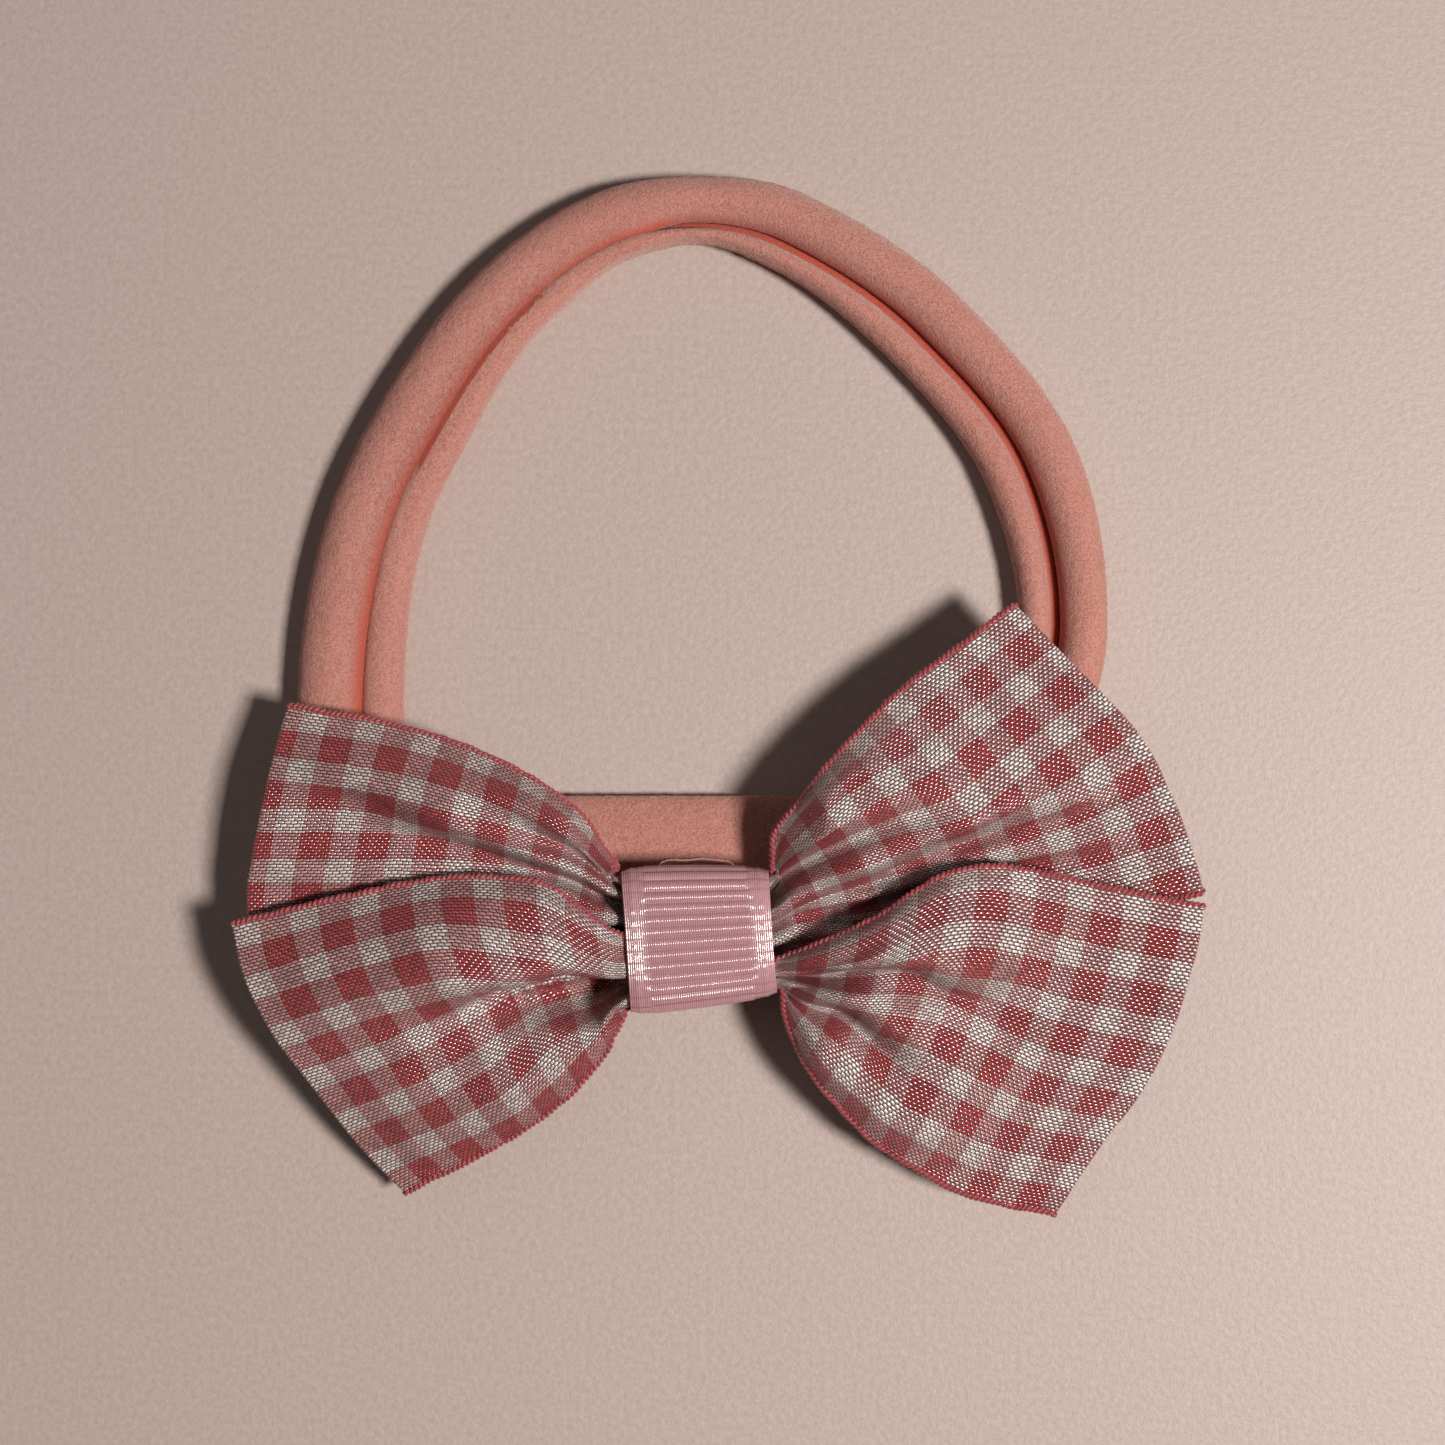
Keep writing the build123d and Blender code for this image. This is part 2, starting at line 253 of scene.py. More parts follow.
def gingham():
    """Satin plain weave: long warp floats in staggered rows, with wefts between them."""
    n = Nodes("gingham")
    vector, across, along = n.flat()
    wobble = n.math("MULTIPLY", n.math("SUBTRACT", n.noise(vector, 0.5), 0.5), 0.35)
    across = n.math("ADD", across, wobble)
    along = n.math("ADD", along, wobble)
    row = n.math("DIVIDE", across, WARP_PITCH)
    shift = n.math("MULTIPLY", n.math("FLOORED_MODULO", n.math("FLOOR", row), 2.0), 0.5)
    step = n.math("ADD", n.math("DIVIDE", along, FLOAT_PITCH), shift)
    thread = n.math("POWER", arch(n, row), 0.7)
    float_height = n.math("MULTIPLY", thread, n.math("POWER", arch(n, step), 0.5))
    on_float = n.ramp(float_height, 0.40, 0.70)
    tint = weighted(n, each_float(n, row, step), 0.55, n.noise(vector, 0.15), 0.45)
    rose = n.mix(tint, (0.24, 0.011, 0.015, 1), (0.60, 0.062, 0.064, 1))
    white = n.mix(tint, (0.42, 0.32, 0.29, 1), (0.97, 0.87, 0.81, 1))
    warp_rose, weft_rose = stripe(n, across), stripe(n, along)
    float_rose = n.math("MINIMUM", 1.0, weighted(n, warp_rose, 0.66, weft_rose, 0.56))
    gap_rose = n.math("MINIMUM", 1.0, weighted(n, warp_rose, 0.75, weft_rose, 0.9))
    float_colour = n.mix(float_rose, white, rose)
    # The gaps between floats take the weft's stripe colour, multiplied far darker: real weft colour with
    # painted shade between the threads.
    gap_weft_with_painted_shade = n.mix(1.0, n.mix(gap_rose, white, rose), (0.13, 0.015, 0.017, 1), "MULTIPLY")
    n.link(n.mix(on_float, gap_weft_with_painted_shade, float_colour), n.shader.inputs["Base Color"])
    n.link(n.math("SUBTRACT", 0.60, n.math("MULTIPLY", on_float, 0.40)), n.shader.inputs["Roughness"])
    n.set(Specular_IOR_Level=1.0, IOR=1.72)
    n.bump(float_height, 1.0, 0.00013)
    return n.material


def each_float(n, row, step):
    """A random value for each float of the weave."""
    value = n.add("ShaderNodeTexWhiteNoise", noise_dimensions="2D")
    cell = n.add("ShaderNodeCombineXYZ")
    n.link(n.math("FLOOR", row), cell.inputs[0])
    n.link(n.math("FLOOR", step), cell.inputs[1])
    n.link(cell.outputs[0], value.inputs["Vector"])
    return value.outputs[0]


def weighted(n, a, a_weight, b, b_weight):
    """Two values added with these weights."""
    return n.math("ADD", n.math("MULTIPLY", a, a_weight), n.math("MULTIPLY", b, b_weight))


def stripe(n, at):
    """1 on rose stripes, 0 on white ones."""
    return n.math("GREATER_THAN", n.math("FLOORED_MODULO", at, 2 * CHECK), WHITE_STRIPE)


def arch(n, at):
    """A thread's round back across its width: 0 at its sides, 1 in its middle."""
    side = n.math("SUBTRACT", n.math("MULTIPLY", n.math("FRACT", at), 2.0), 1.0)
    return n.math("SUBTRACT", 1.0, n.math("MULTIPLY", side, side))


def edge_thread():
    """The twisted rose thread of the selvedges."""
    n = Nodes("edge_thread")
    tint = n.noise(n.place(), 900.0, 3.0)
    n.link(n.mix(tint, (0.20, 0.010, 0.018, 1), (0.48, 0.085, 0.09, 1)), n.shader.inputs["Base Color"])
    n.set(Roughness=0.45, Sheen_Weight=0.3, Specular_IOR_Level=0.5)
    n.bump(n.noise(n.place(), 4000.0), 0.5, 0.0001)
    return n.material


def grosgrain():
    """Dusty pink grosgrain; its ribs are in the mesh, its threads here."""
    n = Nodes("grosgrain")
    vector, across, along = n.flat()
    thread = arch(n, n.math("DIVIDE", across, GROSGRAIN_THREAD))
    rib = n.math("FRACT", n.math("DIVIDE", along, RIB_PITCH))
    groove = n.math("SUBTRACT", 1.0, n.ramp(n.math("ABSOLUTE", n.math("SUBTRACT", rib, 0.5)), 0.0, 0.2))
    tint = n.noise(vector, 0.5, 3.0)
    base = n.mix(tint, (0.47, 0.225, 0.245, 1), (0.60, 0.310, 0.330, 1))
    # The grooves between the ribs are darkened towards a deep rose: painted shade in the grooves.
    colour = n.mix(n.math("MULTIPLY", groove, 0.55), base, (0.24, 0.075, 0.095, 1))
    n.link(colour, n.shader.inputs["Base Color"])
    n.link(n.math("ADD", 0.18, n.math("MULTIPLY", groove, 0.35)), n.shader.inputs["Roughness"])
    n.set(Specular_IOR_Level=1.0, IOR=1.65)
    n.bump(thread, 0.8, 0.00006)
    return n.material


def velvet():
    """Salmon brushed nylon with a short soft nap: pale tips over a deeper ground."""
    n = Nodes("brushed_nylon")
    _, across, _ = n.flat()
    place = n.place()
    nap = n.noise(place, 4200.0, 2.0, 0.75)
    fine = n.noise(place, 1500.0, 3.0, 0.7)
    broad = n.noise(place, 90.0, 3.0)
    ground = n.mix(broad, (0.42, 0.155, 0.115, 1), (0.51, 0.193, 0.149, 1))
    tips = n.mix(broad, (0.56, 0.268, 0.215, 1), (0.65, 0.330, 0.274, 1))
    cover = n.math("MULTIPLY", n.ramp(nap, 0.30, 0.62), n.ramp(fine, 0.15, 0.55))
    brushed = n.mix(cover, ground, tips)
    # The strip's edges curl into the groove between the rolls and are coloured a deep red there: painted
    # shade in the groove.
    from_middle = n.math("ABSOLUTE", n.math("SUBTRACT", across, BAND_FLAT / 2))
    painted_groove_shade = n.ramp(from_middle, BAND_FLAT / 2 - GROOVE_SHADE_WIDTH, BAND_FLAT / 2)
    n.link(n.mix(painted_groove_shade, brushed, (0.50, 0.085, 0.050, 1)), n.shader.inputs["Base Color"])
    n.set(Roughness=0.85, Sheen_Weight=0.5, Sheen_Roughness=0.4, Specular_IOR_Level=0.12,
          Subsurface_Weight=0.3, Subsurface_Scale=0.0012)
    n.shader.inputs["Subsurface Radius"].default_value = (1.0, 0.28, 0.18)
    n.shader.inputs["Sheen Tint"].default_value = (1.0, 0.78, 0.72, 1)
    n.bump(n.math("ADD", nap, fine), 0.9, 0.00022)
    return n.material


def sewing_thread():
    """Pink polyester thread."""
    n = Nodes("sewing_thread")
    place = n.place()
    n.link(n.mix(n.noise(place, 1500.0), (0.62, 0.26, 0.30, 1), (0.80, 0.46, 0.48, 1)),
           n.shader.inputs["Base Color"])
    n.set(Roughness=0.55, Sheen_Weight=0.3)
    n.bump(n.noise(place, 5000.0), 0.6, 0.00008)
    return n.material


def hot_glue():
    """Clear, slightly milky hot glue with trapped bubbles."""
    n = Nodes("hot_glue")
    place = n.place()
    n.link(n.mix(n.noise(place, 600.0, 3.0), (0.90, 0.62, 0.54, 1), (0.97, 0.84, 0.78, 1)),
           n.shader.inputs["Base Color"])
    n.set(Roughness=0.07, Transmission_Weight=0.92, IOR=1.46, Coat_Weight=0.3)
    n.bump(n.noise(place, 400.0), 0.35, 0.0003)
    return n.material


# ---- ribbon loops
# Every line is a short list of plan points with heights, from the knot outwards for the
# selvedges, and from the upper to the lower corner for the outer fold. A section is how
# the cloth runs across a wing, at a share of the way out: places across it, and heights
# above the line between its edges. Where the places turn back, the cloth is pleated over
# itself. Heights are scaled until the section takes up the ribbon's real width. A wing
# lies under a front one from the share across it called hidden. The seed is for ripples.
BACK_PLEATS = ((0, 0), (.2, .7), (.38, -.6), (.55, .6), (.72, -.6), (.88, .3), (1, 0))
LOOPS = {
    "back_left": dict(
        top=((-3.5, -20.8, 9.4), (-10.6, -19.0, 10.9), (-14.7, -13.4, 11.3), (-20.0, -9.4, 11.1),
             (-27.0, -6.0, 10.4), (-35.0, -3.5, 9.6), (-47.0, -1.3, 8.9)),
        fold=((-47.0, -1.3, 8.9), (-48.9, -9.0, 9.0), (-50.7, -17.5, 8.7), (-51.5, -23.0, 8.4),
              (-50.3, -30.0, 8.0), (-48.0, -34.6, 7.8)),
        bottom=((-3.5, -28.5, 8.0), (-10.6, -28.6, 7.6), (-20.0, -31.0, 7.2), (-33.0, -33.6, 7.2),
                (-48.0, -34.6, 7.5)),
        sections=(
            (0.00, BACK_PLEATS),
            (0.16, ((0, 0), (.12, 1.1), (.2, -.5), (.3, .5), (.42, -1.1), (.52, .6), (.64, .8), (.72, -.8),
                    (.85, -.2), (1, 0))),
            (0.35, ((0, 0), (.08, 1.3), (.16, 1.6), (.24, .2), (.32, 1.3), (.37, 1.1), (.42, -.9), (.5, .5),
                    (.6, .6), (.7, -.9), (.82, -1.6), (.92, -.4), (1, 0))),
            (0.60, ((0, 0), (.1, 1), (.2, 1.7), (.31, 1.9), (.36, .1), (.43, .4), (.56, .6), (.7, -.8),
                    (.85, -1.2), (1, 0))),
            (0.80, ((0, 0), (.12, .8), (.22, 1), (.28, .2), (.4, .5), (.55, .3), (.75, -.5), (1, 0))),
            (1.00, ((0, 0), (.3, .4), (.6, .2), (1, 0))),
        ),
        hidden=0.55, seed=11,
    ),
    "back_right": dict(
        top=((-0.5, -21.0, 9.6), (4.9, -19.2, 11.0), (5.9, -15.7, 11.7), (9.1, -11.5, 12.2),
             (13.4, -6.3, 12.1), (20.0, 0.3, 11.4), (26.1, 4.9, 10.8), (32.3, 9.7, 10.2)),
        fold=((32.3, 9.7, 10.2), (36.9, 4.9, 10.2), (42.5, -0.7, 10.0), (46.9, -5.9, 9.7),
              (49.7, -11.5, 9.3), (52.0, -17.2, 8.8), (53.3, -21.9, 8.3)),
        bottom=((-0.5, -29.0, 8.4), (6.3, -29.5, 8.6), (20.0, -28.0, 8.8), (36.0, -26.8, 8.5),
                (53.3, -21.9, 8.3)),
        sections=(
            (0.00, BACK_PLEATS),
            (0.14, ((0, 0), (.1, 1.3), (.18, .9), (.26, -1.2), (.36, -.6), (.46, .9), (.54, .4), (.62, -1),
                    (.76, .1), (.88, -.3), (1, 0))),
            (0.35, ((0, 0), (.08, 1.4), (.18, 2.1), (.28, 1.4), (.36, .2), (.46, 1.3), (.54, 1.2), (.62, -.8),
                    (.7, -.2), (.8, -1.4), (.9, -.5), (1, 0))),
            (0.60, ((0, 0), (.12, .9), (.3, 1.7), (.44, 1.1), (.54, 1.3), (.6, -.9), (.67, .3), (.73, -1.1),
                    (.85, -.6), (1, 0))),
            (0.82, ((0, 0), (.2, .7), (.45, .8), (.6, .7), (.66, -.3), (.73, .3), (.8, -.5), (.9, -.2),
                    (1, 0))),
            (1.00, ((0, 0), (.3, .4), (.6, .3), (1, 0))),
        ),
        hidden=0.62, seed=5,
    ),
    "front_left": dict(
        top=((-3.5, -27.0, 11.0), (-10.6, -26.2, 11.9), (-14.7, -23.4, 12.9), (-18.3, -20.9, 13.1),
             (-21.8, -20.2, 12.9), (-29.5, -20.0, 12.4), (-40.8, -22.2, 11.4), (-52.9, -25.1, 10.4)),
        fold=((-52.9, -25.1, 10.4), (-51.4, -31.1, 9.8), (-48.3, -37.3, 8.8), (-43.9, -43.4, 7.5),
              (-39.5, -49.6, 6.0), (-34.6, -55.4, 4.8)),
        bottom=((-3.5, -33.0, 9.6), (-9.4, -34.4, 9.8), (-12.5, -39.6, 9.2), (-16.1, -43.9, 8.5),
                (-20.9, -47.8, 7.5), (-26.2, -51.0, 6.4), (-34.6, -55.4, 4.8)),
        sections=(
            (0.00, ((0, 0), (.15, .6), (.35, .3), (.55, .9), (.7, .6), (.62, -.6), (.55, -1.4), (.8, -1.2),
                    (.9, .2), (1, 0))),
            (0.14, ((0, 0), (.1, .9), (.2, .3), (.34, 1), (.46, 1.2), (.56, 1.4), (.59, .4), (.5, -1.4),
                    (.46, -3.6), (.58, -5), (.72, -4.4), (.8, -1.4), (.88, 1.3), (.95, 1), (1, 0))),
            (0.27, ((0, 0), (.09, 1.3), (.2, 1.2), (.32, 2), (.43, 2.2), (.5, 1.4), (.5, .2), (.42, -1.6),
                    (.4, -3.8), (.5, -5.4), (.64, -5), (.75, -2.4), (.83, .6), (.91, 1.4), (1, 0))),
            (0.42, ((0, 0), (.1, 1.4), (.22, 2.1), (.36, 2.7), (.45, 2.2), (.49, 1), (.47, -.4), (.43, -1.6),
                    (.5, -2.6), (.6, -1.4), (.72, .8), (.86, 1.3), (1, 0))),
            (0.58, ((0, 0), (.1, 1.2), (.25, 2.2), (.4, 2.1), (.46, .9), (.5, .1), (.58, .2), (.7, 1.1),
                    (.84, 1.3), (.94, .8), (1, 0))),
            (0.78, ((0, 0), (.12, .9), (.3, 1.4), (.5, .9), (.65, 1.2), (.85, .9), (1, 0))),
            (1.00, ((0, 0), (.25, .5), (.5, .6), (.75, .4), (1, 0))),
        ),
        hidden=0.0, seed=23,
    ),
    "front_right": dict(
        top=((-0.5, -29.3, 11.0), (5.9, -29.0, 11.8), (11.0, -27.2, 12.8), (17.6, -24.1, 13.4),
             (21.9, -21.2, 13.2), (25.7, -19.4, 12.9), (31.3, -18.8, 12.4), (42.1, -21.0, 11.4),
             (53.0, -23.2, 10.4)),
        fold=((53.0, -23.2, 10.4), (52.4, -27.5, 10.1), (51.0, -32.7, 9.5), (49.2, -38.4, 8.6),
              (46.4, -44.0, 7.5), (42.5, -49.6, 6.1), (37.4, -57.9, 4.6)),
        bottom=((-0.5, -33.0, 9.6), (5.9, -33.6, 9.9), (9.7, -40.7, 9.4), (13.4, -45.4, 8.6),
                (17.6, -49.6, 7.7), (22.8, -52.9, 6.7), (28.4, -55.8, 5.7), (37.4, -57.9, 4.6)),
        sections=(
            (0.00, ((0, 0), (.2, .7), (.38, -.6), (.55, .7), (.72, -.7), (.88, .3), (1, 0))),
            (0.16, ((0, 0), (.1, 1), (.22, 1.2), (.26, -.9), (.34, -.4), (.4, -1.6), (.5, .5), (.6, 1.2),
                    (.68, .1), (.75, -1.2), (.85, .3), (.93, .8), (1, 0))),
            (0.32, ((0, 0), (.07, 1.2), (.16, 1.5), (.25, 2.2), (.28, 1), (.29, -.9), (.38, .2), (.47, 1.6),
                    (.53, .9), (.57, -1.1), (.66, .2), (.78, 1.2), (.9, 1.2), (1, 0))),
            (0.43, ((0, 0), (.07, 1.3), (.18, 2), (.29, 2.7), (.33, 1.4), (.34, -.2), (.43, .6), (.54, 1.8),
                    (.62, 1.1), (.68, -.2), (.78, 1.1), (.9, 1.2), (1, 0))),
            (0.55, ((0, 0), (.08, 1.1), (.2, 1.7), (.34, 2.1), (.4, .8), (.43, -.3), (.5, .5), (.6, 1.4),
                    (.74, 1.1), (.88, 1.3), (1, 0))),
            (0.66, ((0, 0), (.12, .9), (.27, 1.1), (.4, -.1), (.46, -.3), (.55, .8), (.7, 1.1), (.88, .8),
                    (1, 0))),
            (0.82, ((0, 0), (.2, .6), (.45, .5), (.7, .8), (.9, .4), (1, 0))),
            (1.00, ((0, 0), (.3, .4), (.6, .5), (1, 0))),
        ),
        hidden=0.0, seed=31,
    ),
}
ACROSS, ALONG, BEND = 65, 85, 7  # grid points over a loop's layers, both odd, and its fold
GATHER_REACH = 0.32              # share of a wing over which the gathers open out
FOLDED_EXTRA = 1.07              # length across the folds, for the ribbon's width
FLAT_EXTRA = 0.97                # the same at the outer fold
CRUSHED = 0.58                   # how much of the width shows where it is pinched
RIPPLE = 0.18                    # height of the cloth's small unevenness
RELAX_TURNS = 40
SMOOTHING = 0.05                 # share of the way to its neighbours' mean, each turn
KEEP_SHAPE = 0.035               # share of the way back to the drawn shape
EDGE_HOLD, FOLD_HOLD = 0.5, 0.6  # the same in plan, at the selvedges and the outer fold
EVEN_OUT = 0.25                  # how far a short row is let out towards the longest
UNDER_FOLDS = 4.5                # waves across a loop's hidden layer
UNDER_FRONT = 9.4                # highest that a back wing goes under a front one
WRAP_ROOM = 0.82                 # from the outside of the wrap to the cloth's middle
WRAP_SLOPE = 1.1                 # how steeply the cloth may rise beside it
OVER_BAND = 6.9                  # lowest that cloth goes where the band passes
CLOTH_GAP = 0.45                 # least room between the layers of a loop
SELVEDGE_HEIGHT = 0.5            # of the edge thread above the cloth
EDGE_STRAND = 0.25               # radius of each of its two strands
EDGE_TWIST = 1.25                # length in which they twist round once
EDGE_WANDER = 0.10               # how far it strays from a smooth line
EDGE_STEP, EDGE_SIDES = 0.22, 6  # between points along a strand, and points round it


def layer_plan(loop):
    """The plan and base height of one layer: across from top to bottom, along from the knot."""
    top = smooth_line(loop["top"], ALONG)
    bottom = smooth_line(loop["bottom"], ALONG)
    fold = smooth_line(loop["fold"], ACROSS)
    root = np.linspace(top[0], bottom[0], ACROSS)
    u = np.linspace(0, 1, ACROSS)[:, None, None]
    v = np.linspace(0, 1, ALONG)[None, :, None]
    ruled = (1 - u) * top[None] + u * bottom[None]
    lofted = (1 - v) * root[:, None] + v * fold[:, None]
    corners = ((1 - u) * (1 - v) * top[0] + u * (1 - v) * bottom[0]
               + (1 - u) * v * top[-1] + u * v * bottom[-1])
    return ruled + lofted - corners


def gather(plan, loop):
    """Lofts a layer through its sections, each with the ribbon's real width in it."""
    lengths = np.linalg.norm(np.diff(plan, axis=0), axis=2).sum(0)
    stations, places, heights = [], [], []
    for v, points in loop["sections"]:
        column = int(round(v * (ALONG - 1)))
        line = np.array(points, float) * (lengths[column], 1.0)
        place, height = fit_section(line, shown_width()[column])
        stations.append(v)
        places.append(place / lengths[column])
        heights.append(height)
    v = np.linspace(0, 1, ALONG)
    place = loft(v, stations, np.array(places))
    height = loft(v, stations, np.array(heights))
    front = across_plan(plan, place)
    rng = np.random.default_rng(loop["seed"])
    ripple = RIPPLE * soft_noise((ACROSS, ALONG), (7, 6), rng) * smoothstep(v, 0.1, 0.4)
    front[..., 2] += height + ripple
    return front, place


def across_plan(plan, place):
    """The plan's points at these shares of the way across it, column by column."""
    at_row = np.clip(place, 0, 1) * (ACROSS - 1)
    row = np.minimum(at_row.astype(int), ACROSS - 2)
    part = (at_row - row)[..., None]
    column = np.broadcast_to(np.arange(ALONG)[None, :], row.shape)
    return plan[row, column] * (1 - part) + plan[row + 1, column] * part


def fit_section(line, width):
    """Even steps along a section whose heights are scaled to give it this length."""
    low, high = 0.3, 2.6
    for _ in range(16):
        scale = (low + high) / 2
        curve = smooth_line(line * (1, scale), 400)
        length = np.linalg.norm(np.diff(curve, axis=0), axis=1).sum()
        low, high = (scale, high) if length < width else (low, scale)
    curve = resample(curve, ACROSS)
    return curve[:, 0], curve[:, 1]


def loft(v, stations, values):
    """Values between stations along a wing, rounded off over each station."""
    rows = np.stack([np.interp(v, stations, values[:, i]) for i in range(values.shape[1])])
    kernel = np.hanning(11)
    padded = np.pad(rows, ((0, 0), (5, 5)), "edge")
    return np.stack([np.convolve(row, kernel / kernel.sum(), "valid") for row in padded])


def shown_width():
    """How much of the ribbon's width each place along a wing carries."""
    v = np.linspace(0, 1, ALONG)
    gathered = CRUSHED + (FOLDED_EXTRA - CRUSHED) * smoothstep(v, 0.0, GATHER_REACH)
    return RIBBON_WIDTH * (gathered - (FOLDED_EXTRA - FLAT_EXTRA) * smoothstep(v, 0.6, 0.95))


def relax(front, loop, floor):
    """Lets a layer settle so that its threads keep their length, on top of floor(x, y)."""
    p = front.copy()
    u = np.linspace(0, 1, ACROSS)[:, None]
    v = np.linspace(0, 1, ALONG)[None, :]
    across = np.broadcast_to(shown_width()[None, :] / (ACROSS - 1), (ACROSS - 1, ALONG))
    own = np.linalg.norm(np.diff(front, axis=1), axis=2).sum(1)
    along_row = own + EVEN_OUT * (own.max() - own)
    along = np.broadcast_to(along_row[:, None] / (ALONG - 1), (ACROSS, ALONG - 1))
    held = np.zeros((ACROSS, ALONG, 1))
    held[0] = held[-1] = EDGE_HOLD
    held[:, -1] = FOLD_HOLD
    free = np.ones((ACROSS, ALONG, 1))
    free[:, :3] = 0.0
    for _ in range(RELAX_TURNS):
        settle(p, across, free)
        settle(p.swapaxes(0, 1), along.T, free.swapaxes(0, 1))
        smooth = np.zeros_like(p)
        smooth[1:-1] += 0.5 * (p[:-2] + p[2:]) - p[1:-1]
        smooth[:, 1:-1] += 0.5 * (p[:, :-2] + p[:, 2:]) - p[:, 1:-1]
        p += SMOOTHING * smooth * free
        p[..., :2] += held * (front[..., :2] - p[..., :2]) * free
        p += KEEP_SHAPE * (front - p) * free
        p[..., 2] = np.maximum(p[..., 2], floor(p[..., 0], p[..., 1]))
        if loop["hidden"]:
            limit = (UNDER_FRONT + 6.0 * smoothstep(loop["hidden"] + 0.06 - u, 0.0, 0.16)
                     + 1.6 * (1 - smoothstep(v, 0.1, 0.5)))
            p[..., 2] = np.minimum(p[..., 2], limit)
        under_wrap(p)
    return p


def settle(points, rest, free):
    """Pulls neighbouring rows back to their rest distance where they are further apart."""
    for first in (0, 1):
        a, b = points[first:-1:2], points[first + 1::2]
        free_a, free_b = free[first:-1:2], free[first + 1::2]
        gap = b - a
        length = np.maximum(np.linalg.norm(gap, axis=2, keepdims=True), 1e-6)
        weight = np.maximum(free_a + free_b, 1e-6)
        move = (length - rest[first::2, :, None]).clip(0) / length * gap / weight
        a += move * free_a
        b -= move * free_b


def under_wrap(p):
    """Keeps points inside the wrap where it passes, and lets them rise gently beyond it."""
    cos, sin = math.cos(KNOT_TURN), math.sin(KNOT_TURN)
    x, y = p[..., 0] - KNOT_PLAN[0], p[..., 1] - KNOT_PLAN[1]
    along, across = x * cos + y * sin, y * cos - x * sin
    beyond = (np.abs(along) - HALF_WRAP - 0.3).clip(0)
    room = KNOT_DEPTH / 2 * (1 - KNOT_TAPER * along / HALF_WRAP) - WRAP_ROOM
    held = beyond < 0.4
    squeezed = np.where(held, np.clip(across, -room, room), across)
    p[..., 0] += -sin * (squeezed - across)
    p[..., 1] += cos * (squeezed - across)
    share = np.clip(np.abs(squeezed) / room, 0, 1)
    half = (KNOT_HEIGHT / 2 - WRAP_ROOM) * (1 - share**KNOT_POWER) ** (1 / KNOT_POWER)
    rise = beyond * WRAP_SLOPE
    p[..., 2] = np.clip(p[..., 2], KNOT_MIDDLE - half - rise, KNOT_MIDDLE + half + rise)
    return p


def under_layer(front, plan, place, floor):
    """The hidden layer of a loop: calmer, below every fold of the front one."""
    u = np.linspace(0, 1, ACROSS)[:, None]
    v = np.linspace(0, 1, ALONG)[None, :]
    near = smoothstep(v, 0.7, 1.0)
    own = (1 - near) * u + near * place
    below = np.empty((ACROSS, ALONG))
    for j in range(ALONG):
        close = np.abs(own[:, j][:, None] - place[:, j][None, :]) < 0.06
        below[:, j] = np.where(close, front[:, j, 2][None, :], np.inf).min(1)
    below = np.where(np.isfinite(below), below, front[..., 2])
    for _ in range(5):
        below[1:-1] = np.minimum(below[1:-1], (below[:-2] + 2 * below[1:-1] + below[2:]) / 4)
    back = across_plan(plan, own)
    ends = smoothstep(v, 0.0, 0.2) * smoothstep(1 - v, 0.0, 0.12)
    folds = 1.5 * (1 + np.cos(2 * math.pi * UNDER_FOLDS * u)) * smoothstep(1 - v, 0.15, 0.7)
    edge = smoothstep(u, 0, 0.06) * smoothstep(1 - u, 0, 0.06)
    opened = 0.9 + 1.3 * np.sin(math.pi * u) * ends + folds * edge
    back[..., 2] = below - opened
    centre = front[ACROSS // 2, ALONG // 2, :2]
    back[..., :2] += 0.012 * (centre - back[..., :2])
    lowest = floor(back[..., 0], back[..., 1])
    back[..., 2] = np.maximum(back[..., 2], np.minimum(lowest, below - CLOTH_GAP))
    return under_wrap(back)


def loop_sheet(loop, floor):
    """One loop of ribbon, as one sheet: out along the front, round the fold and back."""
    plan = layer_plan(loop)
    front, place = gather(plan, loop)
    front = relax(front, loop, lambda x, y: floor(x, y) + 1.0)
    back = under_layer(front, plan, place, floor)
    bend = fold_rows(front[:, -1], back[:, -1])
    grid = np.concatenate([front, bend, back[:, ::-1]], 1)
    along = np.r_[0, np.cumsum(row_steps(grid))]
    u = np.linspace(0, 1, ACROSS)[:, None]
    flat = np.stack(np.broadcast_arrays(u * RIBBON_WIDTH, along[None, :]), -1)
    return refine(grid), refine(flat)


def row_steps(grid):
    """The steps along a loop, as the mean of all its rows: a rectangular cut has one length."""
    return np.linalg.norm(np.diff(grid, axis=1), axis=2).mean(0)


def refine(grid):
    """Twice the points both ways, on smooth lines."""
    for axis in (0, 1):
        g = np.moveaxis(grid, axis, 0)
        ends = np.concatenate([2 * g[:1] - g[1:2], g, 2 * g[-1:] - g[-2:-1]])
        middle = (9 * (ends[1:-2] + ends[2:-1]) - ends[:-3] - ends[3:]) / 16
        out = np.empty((2 * len(g) - 1,) + g.shape[1:])
        out[::2], out[1::2] = g, middle
        grid = np.moveaxis(out, 0, axis)
    return grid


